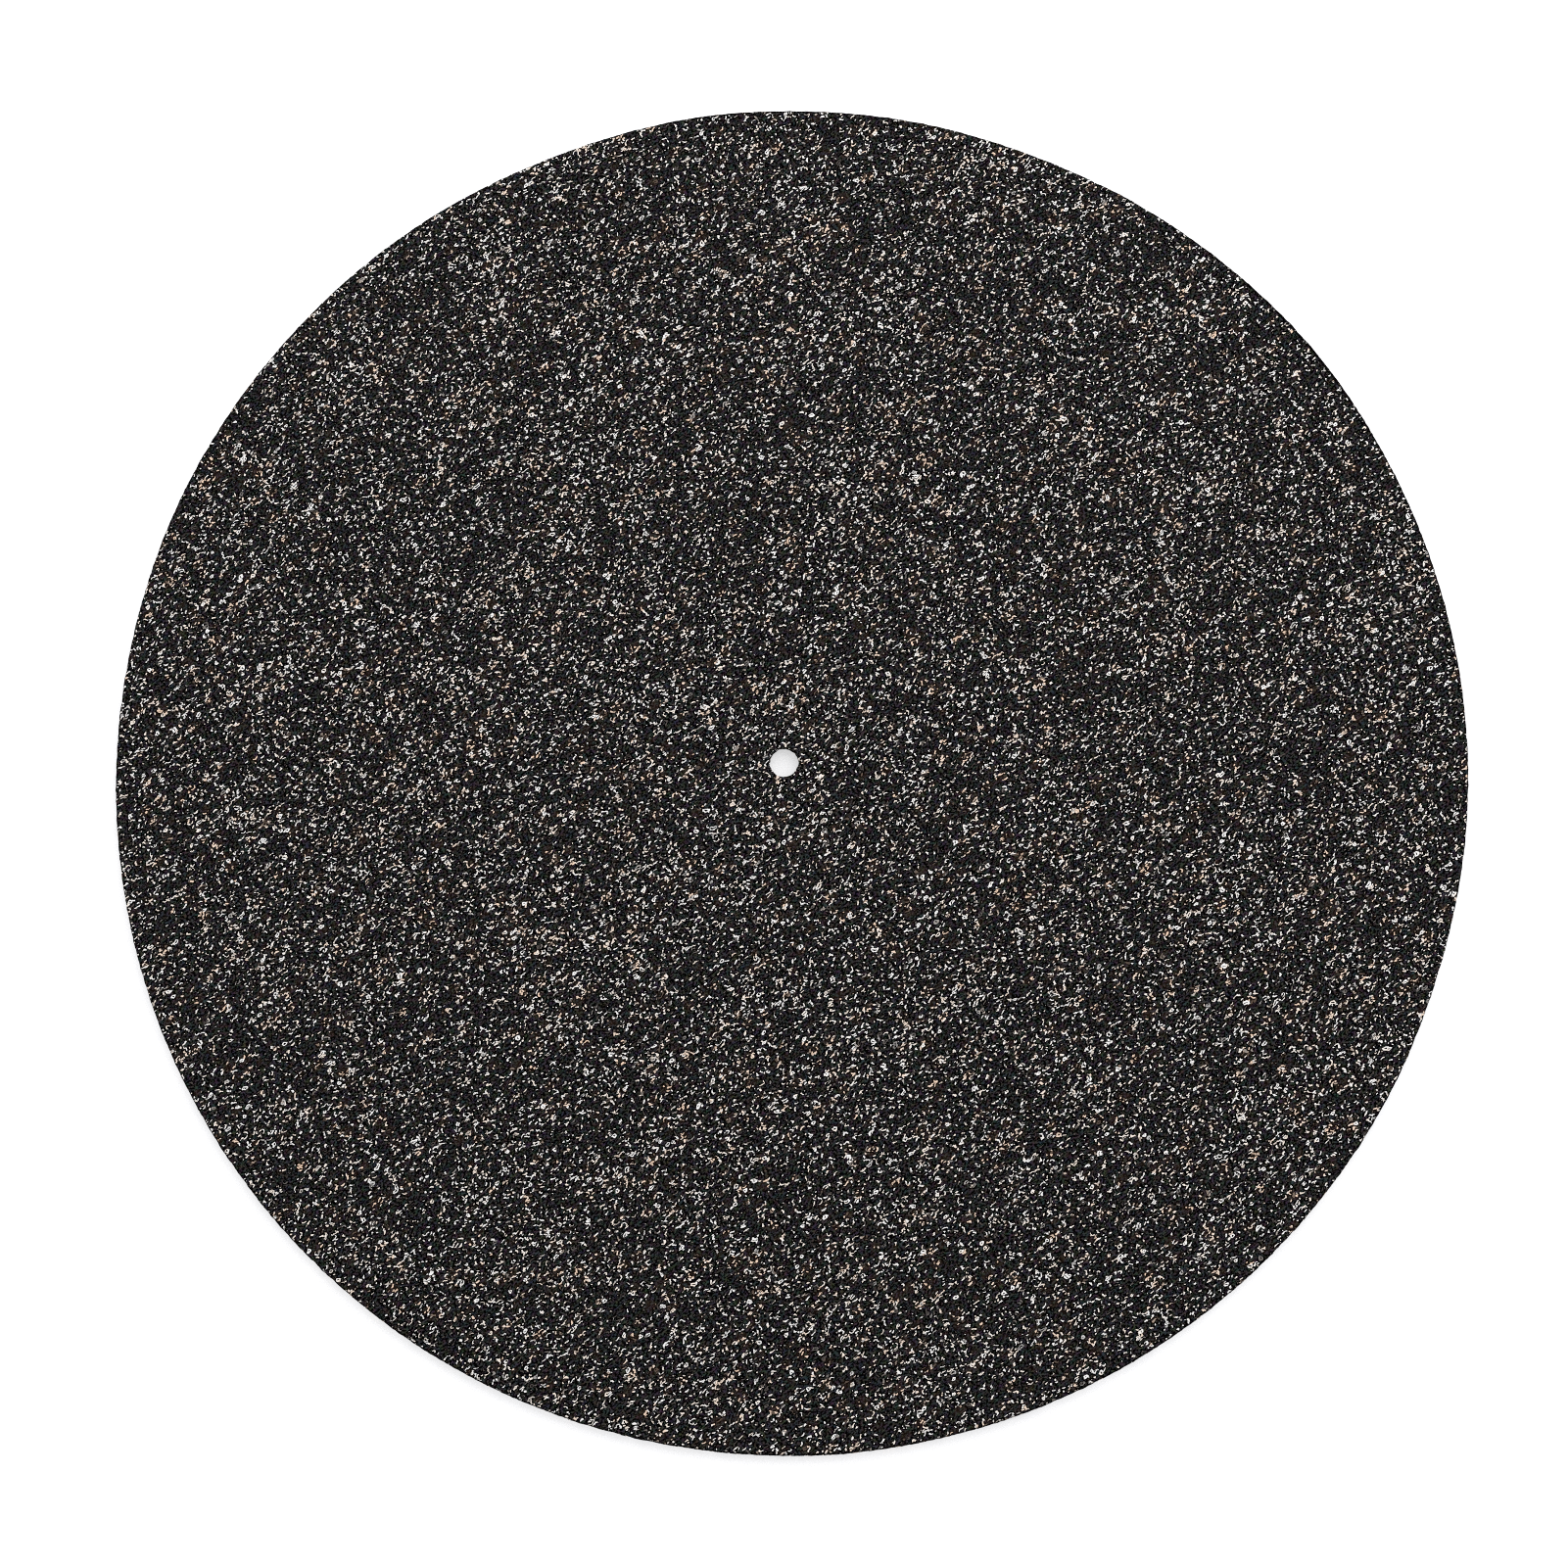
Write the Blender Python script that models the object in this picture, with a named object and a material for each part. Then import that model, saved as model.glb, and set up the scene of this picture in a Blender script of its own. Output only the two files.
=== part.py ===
# Turntable mat: one disc die-cut from a sheet of rubber-bonded cork granulate.
# Metres, +Z up. The origin is at the centre of the underside, so the mat lies on z = 0
# and the record lies on its upper face.

import math

import bmesh
import bpy

# Driving dimensions
MAT_DIAMETER = 0.300
SHEET_THICKNESS = 0.003
SPINDLE_HOLE_DIAMETER = 0.0070

# The die presses the sheet in from above: it rounds the upper edges and leaves the lower ones crisper.
RIM_UPPER_ROUNDING = 0.0005
RIM_LOWER_ROUNDING = 0.0002
HOLE_UPPER_ROUNDING = 0.0003
HOLE_LOWER_ROUNDING = 0.0002

# Fineness of the mesh
TURN_STEPS = 240
ROUNDING_STEPS = 3
SMOOTH_BELOW = math.radians(40.0)

# Finish, linear colour: charcoal rubber filled with cream and tan cork crumbs
MIXTURE_COLOUR = (0.122, 0.115, 0.110, 1.0)
MIXTURE_ROUGHNESS = 0.85
MIXTURE_METALLIC = 0.0


def clear_scene():
    for thing in list(bpy.data.objects):
        bpy.data.objects.remove(thing, do_unlink=True)


def cork_rubber_material():
    material = bpy.data.materials.new("cork_rubber")
    material.use_nodes = True
    shader = material.node_tree.nodes["Principled BSDF"]
    shader.inputs["Base Color"].default_value = MIXTURE_COLOUR
    shader.inputs["Roughness"].default_value = MIXTURE_ROUGHNESS
    shader.inputs["Metallic"].default_value = MIXTURE_METALLIC
    material.diffuse_color = MIXTURE_COLOUR
    return material


def quarter_round(radius, height, rounding, start_angle):
    """Points of a quarter circle about (radius, height), anticlockwise from start_angle."""
    points = []
    for step in range(ROUNDING_STEPS + 1):
        angle = start_angle + math.pi / 2.0 * step / ROUNDING_STEPS
        points.append((radius + rounding * math.cos(angle), height + rounding * math.sin(angle)))
    return points


def mat_section():
    """The mat's half section as (radius, height) points, anticlockwise from the lower rim edge."""
    rim = MAT_DIAMETER / 2.0
    hole = SPINDLE_HOLE_DIAMETER / 2.0
    underside = 0.0
    record_face = SHEET_THICKNESS

    lower_rim_edge = quarter_round(
        rim - RIM_LOWER_ROUNDING, underside + RIM_LOWER_ROUNDING, RIM_LOWER_ROUNDING, -math.pi / 2.0
    )
    upper_rim_edge = quarter_round(
        rim - RIM_UPPER_ROUNDING, record_face - RIM_UPPER_ROUNDING, RIM_UPPER_ROUNDING, 0.0
    )
    upper_hole_edge = quarter_round(
        hole + HOLE_UPPER_ROUNDING, record_face - HOLE_UPPER_ROUNDING, HOLE_UPPER_ROUNDING, math.pi / 2.0
    )
    lower_hole_edge = quarter_round(
        hole + HOLE_LOWER_ROUNDING, underside + HOLE_LOWER_ROUNDING, HOLE_LOWER_ROUNDING, math.pi
    )
    return lower_rim_edge + upper_rim_edge + upper_hole_edge + lower_hole_edge


def turned_mesh(name, section):
    """Turn a closed section once round the Z axis into one closed ring of faces."""
    shape = bmesh.new()
    corners = [shape.verts.new((radius, 0.0, height)) for radius, height in section]
    outline = [
        shape.edges.new((corner, corners[(place + 1) % len(corners)]))
        for place, corner in enumerate(corners)
    ]
    bmesh.ops.spin(
        shape,
        geom=corners + outline,
        cent=(0.0, 0.0, 0.0),
        axis=(0.0, 0.0, 1.0),
        angle=2.0 * math.pi,
        steps=TURN_STEPS,
        use_merge=True,
    )
    bmesh.ops.recalc_face_normals(shape, faces=shape.faces[:])
    mesh = bpy.data.meshes.new(name)
    shape.to_mesh(mesh)
    shape.free()
    return mesh


def make_mat():
    mesh = turned_mesh("mat", mat_section())
    mesh.materials.append(cork_rubber_material())
    mesh.shade_smooth()
    mesh.set_sharp_from_angle(angle=SMOOTH_BELOW)
    mat = bpy.data.objects.new("mat", mesh)
    bpy.context.collection.objects.link(mat)


clear_scene()
make_mat()
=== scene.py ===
# Looks of the turntable mat: a black sheet of rubber-bonded cork granulate, die-cut to a disc,
# on a plain white floor, seen from almost straight above. Metres, +Z up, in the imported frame.

import math

import bpy
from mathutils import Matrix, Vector, noise


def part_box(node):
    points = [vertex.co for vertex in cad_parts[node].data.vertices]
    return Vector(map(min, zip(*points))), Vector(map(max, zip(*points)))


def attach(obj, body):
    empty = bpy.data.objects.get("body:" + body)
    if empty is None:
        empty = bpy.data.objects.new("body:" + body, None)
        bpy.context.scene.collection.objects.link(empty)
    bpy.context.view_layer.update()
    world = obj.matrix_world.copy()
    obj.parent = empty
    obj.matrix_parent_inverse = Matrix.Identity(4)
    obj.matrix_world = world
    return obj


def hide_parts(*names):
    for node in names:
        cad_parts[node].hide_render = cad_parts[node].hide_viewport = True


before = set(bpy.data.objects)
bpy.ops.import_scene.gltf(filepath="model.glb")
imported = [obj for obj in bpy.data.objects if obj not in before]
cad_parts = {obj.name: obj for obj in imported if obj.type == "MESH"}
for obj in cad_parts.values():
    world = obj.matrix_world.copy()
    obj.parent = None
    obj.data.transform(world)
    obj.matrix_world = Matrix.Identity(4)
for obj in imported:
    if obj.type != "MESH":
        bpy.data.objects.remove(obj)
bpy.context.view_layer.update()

# The mat's sizes, the outer ones from the frame
MAT_LOW, MAT_HIGH = (Vector(corner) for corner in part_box("mat"))
RIM_RADIUS = (MAT_HIGH.x - MAT_LOW.x) / 2.0
THICKNESS = MAT_HIGH.z - MAT_LOW.z
HOLE_RADIUS = 0.0035

# Rounding of the die-cut edges
RIM_ROUNDING = 0.0005
HOLE_ROUNDING = 0.0003
LOWER_ROUNDING = 0.0002
ROUNDING_SHOULDER = 0.3

# The rim isn't quite round: (direction in degrees from +X, half width in degrees, offset outward)
RIM_WAVES = (
    (38.0, 9.4, 0.00048),
    (67.0, 7.8, -0.00037),
    (97.0, 6.0, 0.00029),
    (112.0, 6.6, -0.00026),
    (155.0, 12.0, 0.00022),
    (161.0, 39.0, -0.00034),
    (256.0, 48.0, 0.00007),
    (274.0, 5.0, 0.00014),
    (342.0, 9.0, -0.00029),
)

# Relief of the sheet's faces
FACE_GRAIN = 0.00004
FACE_GRAIN_SIZE = 0.0024
FACE_SWELL = 0.00003
FACE_SWELL_SIZE = 0.014
PIT_DEPTH = 0.00030
PIT_SIZE = 0.0021
PIT_THRESHOLD = 0.42

# Where each relief reads the noise, so that no two are alike
RECORD_FACE_NOISE = 3.5
UNDERSIDE_NOISE = 61.5
SWELL_NOISE = 4.5
PIT_NOISE = 9.5

# From this share of the radius outwards, the faces follow the rim's outline
FOLLOWS_RIM_FROM = 0.9

# Roughness of the cut walls
CUT_GRAIN = 0.00011
CUT_GRAIN_SIZE = 0.0007
CUT_CRUMB = 0.00010
CUT_CRUMB_SIZE = 0.0021
CUT_CRUMB_NOISE = Vector((0.0, 31.5, 0.0))
HOLE_CRUMB_REACH = 0.00048
HOLE_CRUMB_SIZE = 0.0013

# Fineness of the mesh
RING_SPACING = 0.00135
LEAST_STEPS = 60
LONGEST_STEP = 0.0019
HOLE_STEPS = 120
RIM_STEPS = 1920
RIM_ROWS = 5
HOLE_ROWS = 4

# Texture maps, in millimetres; the rim's pattern repeats, so its strip fits beside the disc
MILLIMETRES = 1000.0
RIM_REPEATS = 8
WALL_PATTERN_HEIGHT = 700.0
DISC_SHARE_OF_MAP = 0.975
MAP_SIDE = 2.0 * RIM_RADIUS * MILLIMETRES / DISC_SHARE_OF_MAP
STRIP_MARGIN = 4.0
STRIP_HEIGHT = 1.2
SEAM_TOLERANCE = 0.001

# Camera, fitted to the outline and to the hole's place in the photograph
CAMERA_PLACE = (0.02549, -0.07522, 0.57612)
CAMERA_TILT = math.radians(6.987)
CAMERA_PAN = math.radians(2.541)
CAMERA_LENS = 60.0
SENSOR_WIDTH = 36.0

# Light and floor; the sky is brightest low down, like softboxes around a table
SKY_LEVEL = 1.6
ZENITH_LEVEL = 0.2
SKY_COLOUR = (0.985, 0.99, 1.0, 1.0)
BACKGROUND_WHITE = (1.0, 1.0, 1.0, 1.0)
KEY_POWER = 6.5
KEY_SIZE = 1.2
KEY_PLACE = (0.25, 0.62, 0.62)
FLOOR_SIZE = 6.0
FLOOR_GREY = (0.80, 0.80, 0.815, 1.0)
FLOOR_GLOW = 0.49


def smooth_step(low, high, value):
    share = min(max((value - low) / (high - low), 0.0), 1.0)
    return share * share * (3.0 - 2.0 * share)


def out_of_round(angle):
    """How far the rim stands out of a true circle in this direction."""
    offset = 0.0
    for direction, half_width, reach in RIM_WAVES:
        away = (math.degrees(angle) - direction + 180.0) % 360.0 - 180.0
        offset += reach * math.exp(-((away / half_width) ** 2))
    return offset


def face_depth(x, y, seed):
    """How far the sheet's face lies under its highest plane at this place."""
    grain = noise.noise((x / FACE_GRAIN_SIZE, y / FACE_GRAIN_SIZE, seed))
    swell = noise.noise((x / FACE_SWELL_SIZE, y / FACE_SWELL_SIZE, seed + SWELL_NOISE))
    pit = noise.noise((x / PIT_SIZE, y / PIT_SIZE, seed + PIT_NOISE))
    torn = smooth_step(PIT_THRESHOLD, 1.0, pit)
    return max(FACE_GRAIN * (1.0 - grain) + FACE_SWELL * (1.0 - swell) + PIT_DEPTH * torn, 0.0)


def cut_roughness(place):
    """How far a cut wall stands out of its true surface at this place."""
    grain = noise.noise(place / CUT_GRAIN_SIZE)
    crumb = noise.noise(place / CUT_CRUMB_SIZE + CUT_CRUMB_NOISE)
    return CUT_GRAIN * grain + CUT_CRUMB * crumb


def turned(radius, angle, height):
    return Vector((radius * math.cos(angle), radius * math.sin(angle), height))


def face_ring(radius, upper):
    """A ring on the record face or the underside, which follows the rim as it nears it."""
    level = THICKNESS if upper else 0.0
    inwards = -1.0 if upper else 1.0
    seed = RECORD_FACE_NOISE if upper else UNDERSIDE_NOISE
    follow = smooth_step(FOLLOWS_RIM_FROM * RIM_RADIUS, RIM_RADIUS, radius)

    def place(angle):
        spot = turned(radius + follow * out_of_round(angle), angle, level)
        spot.z += inwards * face_depth(spot.x, spot.y, seed)
        return spot

    return place


def rim_ring(inset, height):
    def place(angle):
        radius = RIM_RADIUS - inset + out_of_round(angle)
        return turned(radius + cut_roughness(turned(radius, angle, height)), angle, height)

    return place


def hole_ring(inset, height):
    """A ring on the hole's wall, where crumbs stand into the opening."""

    def place(angle):
        spot = turned(HOLE_RADIUS + inset, angle, height)
        crumb = 0.5 + 0.5 * noise.noise(spot / HOLE_CRUMB_SIZE)
        radius = HOLE_RADIUS + inset - HOLE_CRUMB_REACH * crumb + cut_roughness(spot)
        return turned(radius, angle, height)

    return place


def even_steps(first, last, count):
    return [first + (last - first) * step / (count - 1) for step in range(count)]


def face_rings(inner, outer, upper):
    """Rings from the hole to the rim: (points in the ring, place of a point, zone)."""
    radii = even_steps(inner, outer, round((outer - inner) / RING_SPACING) + 1)
    rings = []
    for radius in radii:
        steps = LEAST_STEPS
        while 2.0 * math.pi * radius / steps > LONGEST_STEP:
            steps *= 2
        if radius == radii[0]:
            steps = HOLE_STEPS
        if radius == radii[-1]:
            steps = RIM_STEPS
        rings.append((steps, face_ring(radius, upper), "face"))
    return rings


def wall_rings(ring, steps, upper_rounding, rows, zone):
    """Rings down a cut wall, from the upper edge's shoulder to the lower edge's."""
    shoulder = ROUNDING_SHOULDER * upper_rounding
    lower_shoulder = ROUNDING_SHOULDER * LOWER_ROUNDING
    rings = [(steps, ring(shoulder, THICKNESS - shoulder), "face")]
    for height in even_steps(THICKNESS - upper_rounding, LOWER_ROUNDING, rows):
        rings.append((steps, ring(0.0, height), zone))
    rings.append((steps, ring(lower_shoulder, lower_shoulder), "face"))
    return rings


def section_rings():
    """All rings in turn: out over the record face, down the rim, in under it and up the hole."""
    record_face = face_rings(HOLE_RADIUS + HOLE_ROUNDING, RIM_RADIUS - RIM_ROUNDING, True)
    rim = wall_rings(rim_ring, RIM_STEPS, RIM_ROUNDING, RIM_ROWS, "rim")
    underside = face_rings(HOLE_RADIUS + LOWER_ROUNDING, RIM_RADIUS - LOWER_ROUNDING, False)
    hole = wall_rings(hole_ring, HOLE_STEPS, HOLE_ROUNDING, HOLE_ROWS, "hole")
    return record_face + rim + underside[::-1] + hole[::-1]


def stitch(ring, following):
    """Faces between two rings, as corners of (point, turn). One may have twice the other's points."""
    first, count = ring
    second, other = following
    if count == other:
        for step in range(count):
            after = step + 1
            yield (
                (first + step, step / count),
                (second + step, step / count),
                (second + after % count, after / count),
                (first + after % count, after / count),
            )
        return
    halving = count > other
    coarse, few = (second, other) if halving else (first, count)
    fine, many = (first, count) if halving else (second, other)
    for step in range(few):
        near = (coarse + step, step / few)
        far = (coarse + (step + 1) % few, (step + 1) / few)
        fine_near = (fine + 2 * step, step / few)
        fine_middle = (fine + 2 * step + 1, (2 * step + 1) / many)
        fine_far = (fine + 2 * (step + 1) % many, (step + 1) / few)
        fan = ((near, fine_near, fine_middle), (near, fine_middle, far), (far, fine_middle, fine_far))
        for corners in fan:
            yield corners[::-1] if halving else corners


def wall_spot(turn, sector_start, zone, height):
    """Where a point on a wall lies along and up its strip, in millimetres."""
    radius = RIM_RADIUS if zone == "rim" else HOLE_RADIUS
    return 2.0 * math.pi * radius * (turn - sector_start) * MILLIMETRES, height * MILLIMETRES


def map_spots(corners, points, zone):
    """The corners' places in the pattern, where walls lie away from faces, and in the export map."""
    pattern = []
    export = []
    repeats = RIM_REPEATS if zone == "rim" else 1
    turns = [turn for point, turn in corners]
    sector_start = math.floor(min(turns) * repeats + SEAM_TOLERANCE) / repeats
    for point, turn in corners:
        spot = points[point]
        if zone == "face":
            across, up = spot.x * MILLIMETRES, spot.y * MILLIMETRES
            pattern += [across, up]
            export += [0.5 + across / MAP_SIDE, 0.5 + up / MAP_SIDE]
            continue
        along, up = wall_spot(turn, sector_start, zone, spot.z)
        strip_start = STRIP_MARGIN
        if zone == "hole":
            strip_start = MAP_SIDE - STRIP_MARGIN - 2.0 * math.pi * HOLE_RADIUS * MILLIMETRES
        pattern += [strip_start + along, WALL_PATTERN_HEIGHT + up]
        export += [(strip_start + along) / MAP_SIDE, (STRIP_HEIGHT + up) / MAP_SIDE]
    return pattern, export


def make_mat():
    points = []
    rings = []
    for steps, place, zone in section_rings():
        rings.append((len(points), steps, zone))
        points += [place(2.0 * math.pi * step / steps) for step in range(steps)]
    faces = []
    pattern = []
    export = []
    for order, (start, steps, zone) in enumerate(rings):
        following, following_steps, following_zone = rings[(order + 1) % len(rings)]
        strip_zone = zone if following_zone == "face" else following_zone
        for corners in stitch((start, steps), (following, following_steps)):
            faces.append([point for point, turn in corners])
            in_pattern, in_export = map_spots(corners, points, strip_zone)
            pattern += in_pattern
            export += in_export
    mesh = bpy.data.meshes.new("cork_rubber_mat")
    mesh.from_pydata(points, [], faces)
    mesh.uv_layers.new(name="OFBake").data.foreach_set("uv", export)
    mesh.uv_layers.new(name="Grain").data.foreach_set("uv", pattern)
    mesh.shade_smooth()
    mat = bpy.data.objects.new("cork_rubber_mat", mesh)
    bpy.context.scene.collection.objects.link(mat)
    return mat


class Graph:
    """Short calls that add nodes to a material or a world; inputs are values or nodes' outputs."""

    def __init__(self, owner):
        owner.use_nodes = True
        self.tree = owner.node_tree
        self.tree.nodes.clear()

    def node(self, kind, inputs=None, **settings):
        made = self.tree.nodes.new(kind)
        for name, value in settings.items():
            setattr(made, name, value)
        for name, value in (inputs or {}).items():
            self.feed(made.inputs[name], value)
        return made

    def feed(self, socket, value):
        if isinstance(value, bpy.types.NodeSocket):
            self.tree.links.new(value, socket)
        else:
            socket.default_value = value

    def math(self, operation, first, second=0.0):
        return self.node("ShaderNodeMath", {0: first, 1: second}, operation=operation).outputs[0]

    def vector(self, operation, first, second):
        made = self.node("ShaderNodeVectorMath", {0: first, 1: second}, operation=operation)
        return made.outputs["Vector"]

    def scaled(self, vector, scale):
        made = self.node("ShaderNodeVectorMath", {0: vector, "Scale": scale}, operation="SCALE")
        return made.outputs["Vector"]

    def turned(self, vector, angle):
        return self.node(
            "ShaderNodeVectorRotate", {"Vector": vector, "Angle": angle}, rotation_type="Z_AXIS"
        ).outputs["Vector"]

    def noise(self, where, size, offset, detail=0.0, roughness=0.5, output="Fac"):
        return self.node(
            "ShaderNodeTexNoise",
            {
                "Vector": self.vector("ADD", where, offset),
                "Scale": 1.0 / size,
                "Detail": detail,
                "Roughness": roughness,
            },
            noise_dimensions="2D",
        ).outputs[output]

    def cells(self, where, size):
        return self.node(
            "ShaderNodeTexVoronoi",
            {"Vector": where, "Scale": 1.0 / size, "Randomness": CELL_RANDOMNESS},
            voronoi_dimensions="2D",
        )

    def parts(self, colour):
        return self.node("ShaderNodeSeparateColor", {"Color": colour}).outputs

    def ramp(self, value, low, high, at_low=0.0, at_high=1.0, shape="SMOOTHSTEP"):
        return self.node(
            "ShaderNodeMapRange",
            {"Value": value, "From Min": low, "From Max": high, "To Min": at_low, "To Max": at_high},
            interpolation_type=shape,
        ).outputs["Result"]

    def mix(self, share, first, second, blend="MIX"):
        made = self.node("ShaderNodeMix", data_type="RGBA", blend_type=blend)
        self.feed(made.inputs[0], share)
        self.feed(made.inputs[6], first)
        self.feed(made.inputs[7], second)
        return made.outputs[2]


# The cork rubber's pattern: sizes in millimetres, colours linear, each noise at its own place
CRUMB_LEAN = math.radians(-38.0)
CRUMB_STRETCH = (0.83, 1.17, 1.0)
CELL_RANDOMNESS = 0.72
NOISE_LOW = 0.2
NOISE_HIGH = 0.8
WANDER_SIZE = 0.50
WANDER_REACH = 0.38
WANDER_AT = (31.0, 7.0, 0.0)

# Crumbs. Their half width, outline and halo are distances from a crumb's middle line
CRUMB_LAYERS = 5
CRUMB_SPACING = 0.93
CRUMB_SPACING_STEP = 0.10
LAYER_SHIFT = (13.7, 29.3)
FIRST_LAYER_SHIFT = (3.0, 1.0)
CRUMB_LENGTH = 0.46
CRUMB_CURL = 2.4
CRUMB_HALF_WIDTH = 0.148
CRUMB_THINNING = 0.13
CRUMB_SOFTNESS = 0.016
CRUMB_UNEVENNESS = 0.02
ROUGH_SIZE = 0.22
ROUGH_AT = (3.0, 17.0, 0.0)
LOOP_SHARE = 0.03
LOOP_RADIUS = 0.27
OUTLINE_START = 0.175
OUTLINE_END = 0.25
OUTLINE_DEPTH = 0.95
HALO_START = 0.28
HALO_END = 0.48

# Share of the places for a crumb that hold one, from sparse to dense patches
SPARSE = 0.10
DENSE = 0.335
PATCH_SIZE = 2.4
PATCH_AT = (5.0, 91.0, 0.0)
PATCH_LOW = 0.20
PATCH_HIGH = 0.85
BROAD_PATCH_SIZE = 14.0
BROAD_PATCH_AT = (205.0, 9.0, 0.0)
BROAD_PATCH_SWING = 0.26

# Browned cork granules
GRANULE_SPACING = 3.2
GRANULE_AT = (401.0, 77.0, 0.0)
GRANULE_SHARE = 0.55
GRANULE_LEAST = 0.40
GRANULE_MOST = 1.60
GRANULE_EDGE_START = 0.70
GRANULE_EDGE_END = 1.15
LEAST_BROWNED = 0.4
GRANULE_DENSER = 0.10
GRANULE_THICKER = 0.03
RUST_IN_RUBBER = 0.24
RUST_IN_HALO = 0.08

# Mottled rubber, and a darker band just inside the rim
MOTTLE_SIZE = 0.50
MOTTLE_AT = (63.0, 27.0, 0.0)
MOTTLE_LOW = 0.43
MOTTLE_HIGH = 0.62
HUE_SIZE = 1.3
HUE_AT = (163.0, 127.0, 0.0)
HUE_SHARE = 0.64
HUE_GAIN = 2.0
RIM_BAND_START = RIM_RADIUS * MILLIMETRES - 0.45
RIM_BAND_END = RIM_RADIUS * MILLIMETRES - 0.20
RIM_BAND_DEPTH = 0.8
RUBBER_BLACK = (0.0002, 0.0001, 0.0001, 1.0)
RUBBER_DARK = (0.0008, 0.0006, 0.0006, 1.0)
RUBBER_GREY = (0.0405, 0.0397, 0.0410, 1.0)
RUBBER_RUST = (0.055, 0.030, 0.019, 1.0)

# Cork: each crumb has its own shade and tint, and the tint drifts over the sheet
DUSKY_SHADE = 0.10
PALE_SHADE = 0.42
WHITE_TINT = -0.2
CREAM_TINT = 0.9
TAN_TINT = 0.45
TINT_CHANCE = 0.4
TINT_DRIFT = 1.2
TINT_DRIFT_SIZE = 2.4
TINT_DRIFT_AT = (75.0, 305.0, 0.0)
CORK_PALE = (1.00, 0.985, 0.970, 1.0)
CORK_CREAM = (1.00, 0.885, 0.77, 1.0)
CORK_TAN = (0.92, 0.67, 0.50, 1.0)
CORK_DUSKY = (0.085, 0.073, 0.067, 1.0)
CORK_BROWN = (0.125, 0.088, 0.066, 1.0)

# Finish
BUMP_HEIGHT = 0.00006
BUMP_STRENGTH = 0.4
CRUMB_BUMP = 0.5
LEAST_ROUGHNESS = 0.78
MOST_ROUGHNESS = 0.92


def crumb_layer(graph, bent, thickness, density, layer):
    """One layer of crumbs: the distance from their middle lines, and each one's shade and tint."""
    shift = (
        LAYER_SHIFT[0] * layer + FIRST_LAYER_SHIFT[0],
        LAYER_SHIFT[1] * layer + FIRST_LAYER_SHIFT[1],
        0.0,
    )
    spot = graph.vector("ADD", bent, shift)
    cells = graph.cells(spot, CRUMB_SPACING + CRUMB_SPACING_STEP * layer)
    centre = cells.outputs["Position"]
    turn, curl, length = graph.parts(cells.outputs["Color"])[:3]
    lot = graph.node("ShaderNodeTexWhiteNoise", {"Vector": centre}, noise_dimensions="2D")
    thin, shade, tint = graph.parts(lot.outputs["Color"])[:3]

    from_centre = graph.vector("SUBTRACT", spot, centre)
    along_crumb = graph.turned(from_centre, graph.math("MULTIPLY", turn, math.pi))
    along, off, _ = graph.node("ShaderNodeSeparateXYZ", {"Vector": along_crumb}).outputs
    bow = graph.math("MULTIPLY", graph.math("SUBTRACT", curl, 0.5), CRUMB_CURL)
    off = graph.math("ADD", off, graph.math("MULTIPLY", bow, graph.math("MULTIPLY", along, along)))
    reach = graph.math("MULTIPLY", graph.math("MULTIPLY", length, length), CRUMB_LENGTH)
    past_end = graph.math("SUBTRACT", graph.math("ABSOLUTE", along), reach)
    past_end = graph.math("MAXIMUM", past_end, 0.0)
    squares = graph.math(
        "ADD", graph.math("MULTIPLY", past_end, past_end), graph.math("MULTIPLY", off, off)
    )
    loop = graph.math("MULTIPLY", graph.math("LESS_THAN", tint, LOOP_SHARE), LOOP_RADIUS)
    distance = graph.math("ABSOLUTE", graph.math("SUBTRACT", graph.math("SQRT", squares), loop))
    absent = graph.math("GREATER_THAN", lot.outputs["Value"], density)
    thinner = graph.math("MULTIPLY", thin, CRUMB_THINNING)
    distance = graph.math("ADD", distance, graph.math("ADD", absent, thinner))
    return graph.math("ADD", distance, thickness), shade, tint


def crumb_cover(graph, distance, full=1.0):
    """From full inside a crumb to 0 outside it."""
    start = CRUMB_HALF_WIDTH - CRUMB_SOFTNESS
    end = CRUMB_HALF_WIDTH + CRUMB_SOFTNESS
    return graph.ramp(distance, start, end, full, 0.0)


def browned_granules(graph, bent):
    """Where the larger granules lie, and how brown each one is."""
    cells = graph.cells(graph.vector("ADD", bent, GRANULE_AT), GRANULE_SPACING)
    size, present, deep = graph.parts(cells.outputs["Color"])[:3]
    least = GRANULE_LEAST / GRANULE_SPACING
    most = GRANULE_MOST / GRANULE_SPACING
    reach = graph.ramp(size, 0.0, 1.0, least, most, "LINEAR")
    share_out = graph.math("DIVIDE", cells.outputs["Distance"], reach)
    inside = graph.ramp(share_out, GRANULE_EDGE_START, GRANULE_EDGE_END, 1.0, 0.0)
    granule = graph.math("MULTIPLY", inside, graph.math("LESS_THAN", present, GRANULE_SHARE))
    brownness = graph.ramp(deep, 0.0, 1.0, LEAST_BROWNED, 1.0, "LINEAR")
    return granule, graph.math("MULTIPLY", granule, brownness)


def crumb_density(graph, grain, granule):
    patch = graph.noise(grain, PATCH_SIZE, PATCH_AT, detail=1.0, roughness=0.6)
    broad = graph.noise(grain, BROAD_PATCH_SIZE, BROAD_PATCH_AT, detail=1.0)
    broad = graph.ramp(broad, 0.0, 1.0, -BROAD_PATCH_SWING, BROAD_PATCH_SWING, "LINEAR")
    both = graph.math("ADD", patch, broad)
    density = graph.ramp(both, PATCH_LOW, PATCH_HIGH, SPARSE, DENSE, "LINEAR")
    return graph.math("ADD", density, graph.math("MULTIPLY", granule, GRANULE_DENSER))


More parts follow.
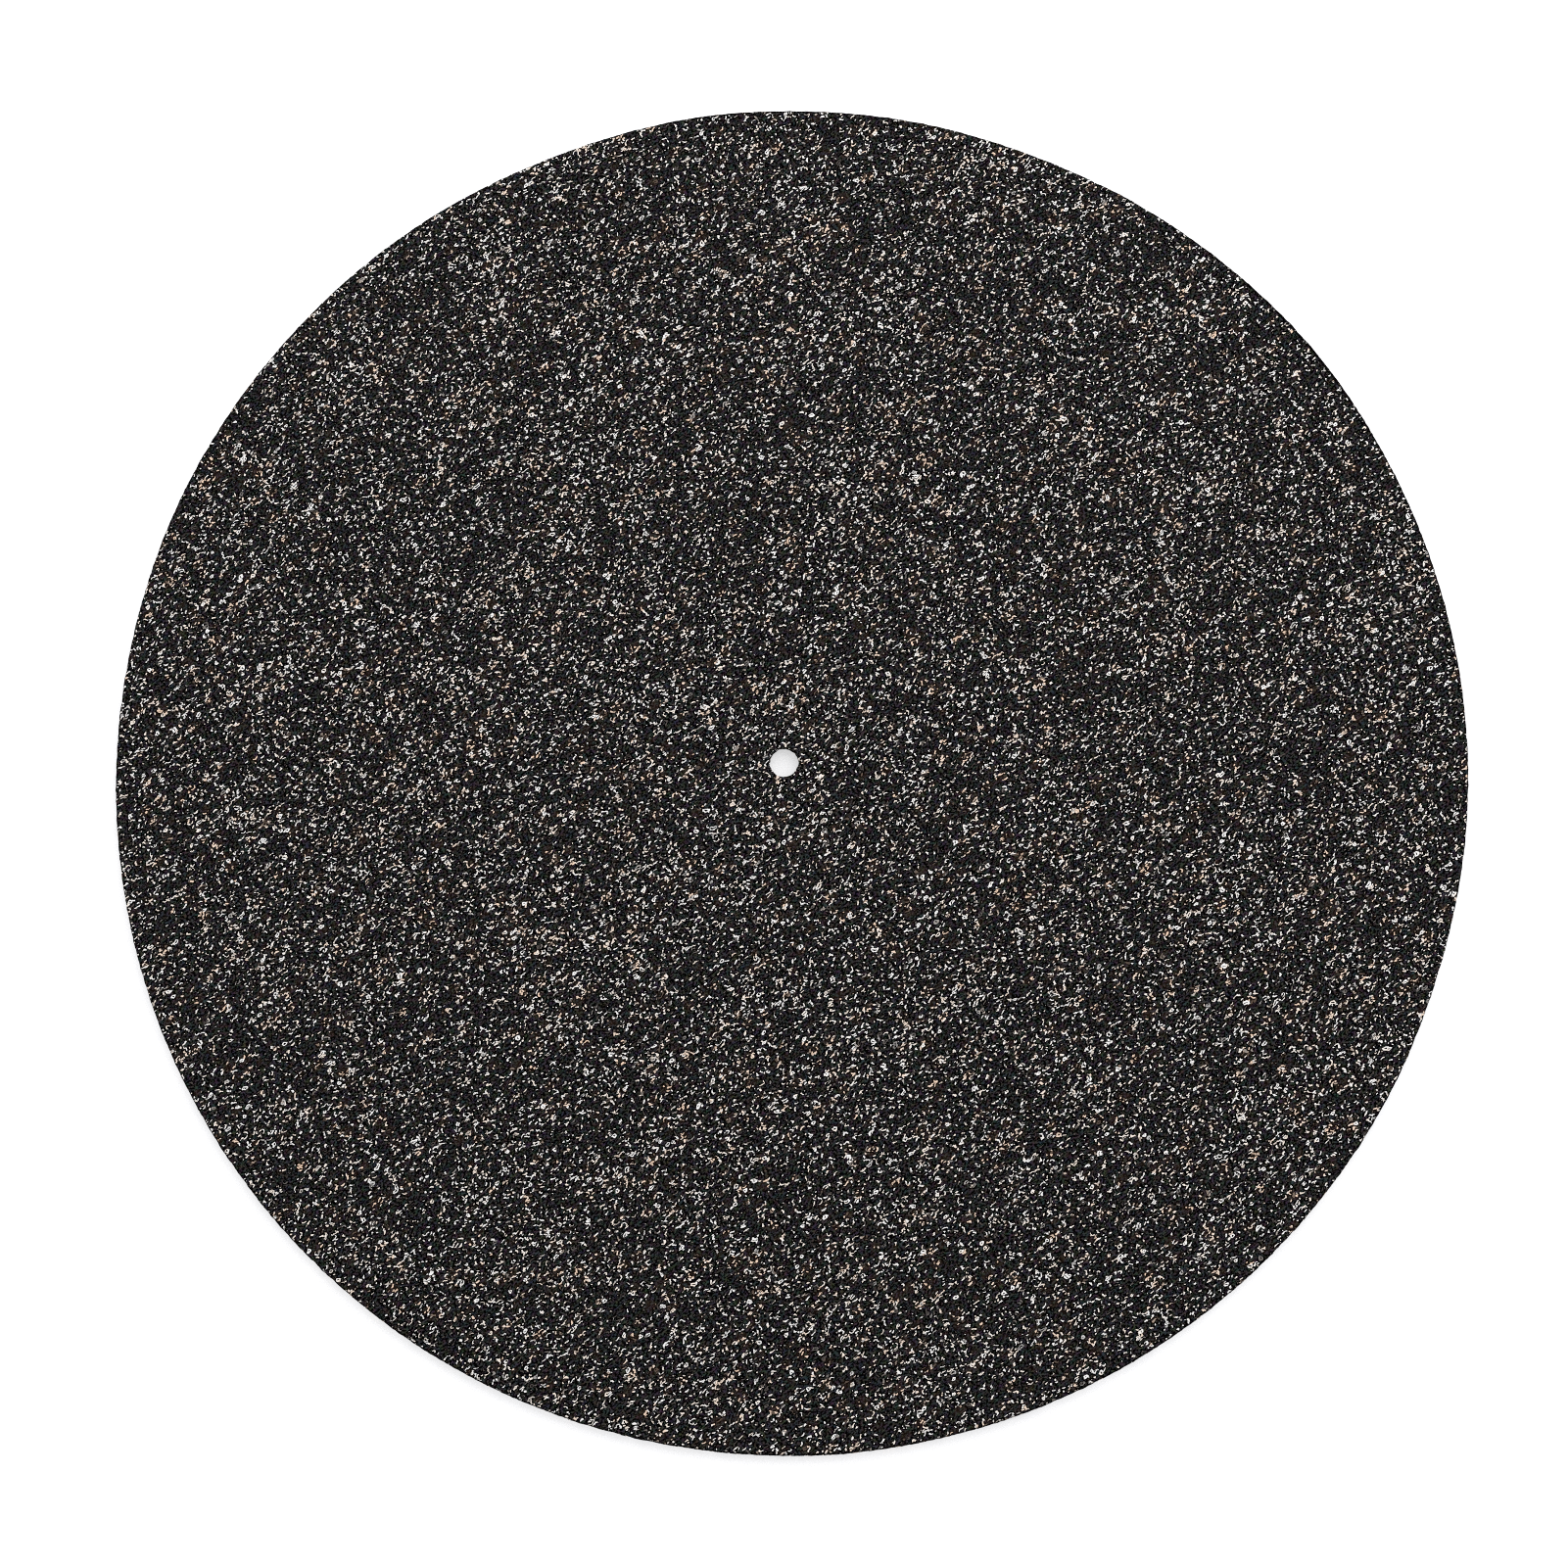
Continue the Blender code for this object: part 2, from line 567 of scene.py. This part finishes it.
def mottled_rubber(graph, grain, browned):
    mottle = graph.noise(grain, MOTTLE_SIZE, MOTTLE_AT, detail=2.0, roughness=0.65)
    rubber = graph.mix(graph.ramp(mottle, MOTTLE_LOW, MOTTLE_HIGH), RUBBER_DARK, RUBBER_GREY)
    hue = graph.noise(grain, HUE_SIZE, HUE_AT, detail=1.0, output="Color")
    tinted = graph.mix(1.0, rubber, graph.scaled(hue, HUE_GAIN), "MULTIPLY")
    rubber = graph.mix(HUE_SHARE, rubber, tinted)
    return graph.mix(graph.math("MULTIPLY", browned, RUST_IN_RUBBER), rubber, RUBBER_RUST)


def crumb_colour(graph, shade, tint, drift, browned):
    drifted = graph.math("ADD", graph.math("MULTIPLY", tint, TINT_CHANCE), drift)
    pale = graph.mix(graph.ramp(drifted, WHITE_TINT, CREAM_TINT), CORK_PALE, CORK_CREAM)
    tanned = graph.math("MULTIPLY", browned, graph.ramp(tint, 0.0, TAN_TINT))
    pale = graph.mix(tanned, pale, CORK_TAN)
    dusky = graph.mix(browned, CORK_DUSKY, CORK_BROWN)
    return graph.mix(graph.ramp(shade, DUSKY_SHADE, PALE_SHADE), dusky, pale)


def cork_rubber():
    material = bpy.data.materials.new("cork_rubber")
    graph = Graph(material)
    where = graph.node("ShaderNodeUVMap", uv_map="Grain").outputs["UV"]
    grain = graph.vector("MULTIPLY", graph.turned(where, CRUMB_LEAN), CRUMB_STRETCH)
    wander = graph.noise(grain, WANDER_SIZE, WANDER_AT, output="Color")
    wander = graph.vector("SUBTRACT", wander, (0.5, 0.5, 0.5))
    bent = graph.vector("ADD", grain, graph.scaled(wander, WANDER_REACH))

    granule, browned = browned_granules(graph, bent)
    density = crumb_density(graph, grain, granule)
    rubber = mottled_rubber(graph, grain, browned)
    rough = graph.noise(grain, ROUGH_SIZE, ROUGH_AT, detail=1.0)
    uneven = graph.ramp(rough, 0.0, 1.0, -CRUMB_UNEVENNESS, CRUMB_UNEVENNESS, "LINEAR")
    thickness = graph.math("SUBTRACT", uneven, graph.math("MULTIPLY", granule, GRANULE_THICKER))
    drift = graph.noise(grain, TINT_DRIFT_SIZE, TINT_DRIFT_AT, detail=2.0, roughness=0.6)
    drift = graph.ramp(drift, NOISE_LOW, NOISE_HIGH, -TINT_DRIFT, TINT_DRIFT, "LINEAR")

    near = None
    crumbs = []
    for layer in range(CRUMB_LAYERS):
        distance, shade, tint = crumb_layer(graph, bent, thickness, density, layer)
        near = distance if near is None else graph.math("MINIMUM", near, distance)
        outline = graph.ramp(distance, OUTLINE_START, OUTLINE_END, OUTLINE_DEPTH, 0.0)
        cork = crumb_colour(graph, shade, tint, drift, browned)
        crumbs.append((outline, crumb_cover(graph, distance), cork))
    halo = graph.mix(graph.math("MULTIPLY", browned, RUST_IN_HALO), RUBBER_BLACK, RUBBER_RUST)
    colour = graph.mix(graph.ramp(near, HALO_START, HALO_END), halo, rubber)
    for outline, cover, cork in crumbs:
        colour = graph.mix(cover, graph.mix(outline, colour, halo), cork)

    radius = graph.node("ShaderNodeVectorMath", {0: where}, operation="LENGTH").outputs["Value"]
    on_face = graph.math("LESS_THAN", radius, WALL_PATTERN_HEIGHT / 2.0)
    # The faces' colour darkens towards the rubber's dark tone in a thin band just inside the rim
    rim_band = graph.ramp(radius, RIM_BAND_START, RIM_BAND_END, 0.0, RIM_BAND_DEPTH)
    colour = graph.mix(graph.math("MULTIPLY", rim_band, on_face), colour, RUBBER_DARK)

    height = graph.math("ADD", crumb_cover(graph, near, CRUMB_BUMP), rough)
    bump = graph.node(
        "ShaderNodeBump",
        {"Strength": BUMP_STRENGTH, "Distance": BUMP_HEIGHT, "Height": height},
    )
    shader = graph.node(
        "ShaderNodeBsdfPrincipled",
        {
            "Base Color": colour,
            "Roughness": graph.ramp(rough, NOISE_LOW, NOISE_HIGH, LEAST_ROUGHNESS, MOST_ROUGHNESS),
            "Specular IOR Level": 0.0,
            "Normal": bump.outputs["Normal"],
        },
    )
    graph.node("ShaderNodeOutputMaterial", {"Surface": shader.outputs["BSDF"]})
    return material


def seen_directly(graph):
    """1 for rays that show the floor or the sky themselves, and 0 for those that carry light."""
    path = graph.node("ShaderNodeLightPath").outputs
    shown = graph.math("ADD", path["Is Camera Ray"], path["Is Glossy Ray"])
    return graph.math("MINIMUM", graph.math("ADD", shown, path["Is Transmission Ray"]), 1.0)


def make_floor():
    material = bpy.data.materials.new("floor_white")
    graph = Graph(material)
    matt = graph.node("ShaderNodeBsdfDiffuse", {"Color": FLOOR_GREY})
    glow = graph.node("ShaderNodeEmission", {"Strength": FLOOR_GLOW})
    lit = graph.node("ShaderNodeAddShader", {0: matt.outputs[0], 1: glow.outputs[0]})
    surface = graph.node(
        "ShaderNodeMixShader", {0: seen_directly(graph), 1: matt.outputs[0], 2: lit.outputs[0]}
    )
    graph.node("ShaderNodeOutputMaterial", {"Surface": surface.outputs[0]})
    half = FLOOR_SIZE / 2.0
    mesh = bpy.data.meshes.new("floor")
    corners = [(-half, -half, 0.0), (half, -half, 0.0), (half, half, 0.0), (-half, half, 0.0)]
    mesh.from_pydata(corners, [], [(0, 1, 2, 3)])
    mesh.materials.append(material)
    floor = bpy.data.objects.new("floor", mesh)
    bpy.context.scene.collection.objects.link(floor)


def make_sky():
    world = bpy.data.worlds.new("soft_sky")
    graph = Graph(world)
    direction = graph.node("ShaderNodeTexCoord").outputs["Generated"]
    height = graph.node("ShaderNodeSeparateXYZ", {"Vector": direction}).outputs["Z"]
    level = graph.ramp(height, 0.0, 1.0, SKY_LEVEL, ZENITH_LEVEL, "LINEAR")
    light = graph.node("ShaderNodeBackground", {"Color": SKY_COLOUR, "Strength": level})
    white = graph.node("ShaderNodeBackground", {"Color": BACKGROUND_WHITE, "Strength": 1.0})
    surface = graph.node(
        "ShaderNodeMixShader", {0: seen_directly(graph), 1: light.outputs[0], 2: white.outputs[0]}
    )
    graph.node("ShaderNodeOutputWorld", {"Surface": surface.outputs[0]})
    bpy.context.scene.world = world


def make_key_light():
    lamp = bpy.data.lights.new("key_light", "AREA")
    lamp.energy = KEY_POWER
    lamp.size = KEY_SIZE
    key = bpy.data.objects.new("key_light", lamp)
    key.location = KEY_PLACE
    key.rotation_euler = (-Vector(KEY_PLACE)).to_track_quat("-Z", "Y").to_euler()
    bpy.context.scene.collection.objects.link(key)


def make_camera():
    lens = bpy.data.cameras.new("camera")
    lens.lens = CAMERA_LENS
    lens.sensor_width = SENSOR_WIDTH
    camera = bpy.data.objects.new("camera", lens)
    camera.location = CAMERA_PLACE
    camera.rotation_euler = (CAMERA_TILT, CAMERA_PAN, 0.0)
    bpy.context.scene.collection.objects.link(camera)
    bpy.context.scene.camera = camera


make_camera()
make_sky()
make_key_light()
make_floor()

mat = make_mat()
mat.data.materials.append(cork_rubber())
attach(mat, "root")
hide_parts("mat")

bpy.context.scene.view_settings.view_transform = "Standard"

# The crumbs are about a pixel wide, so the pixels are kept crisp
bpy.context.scene.cycles.use_denoising = False
bpy.context.scene.cycles.filter_width = 1.0
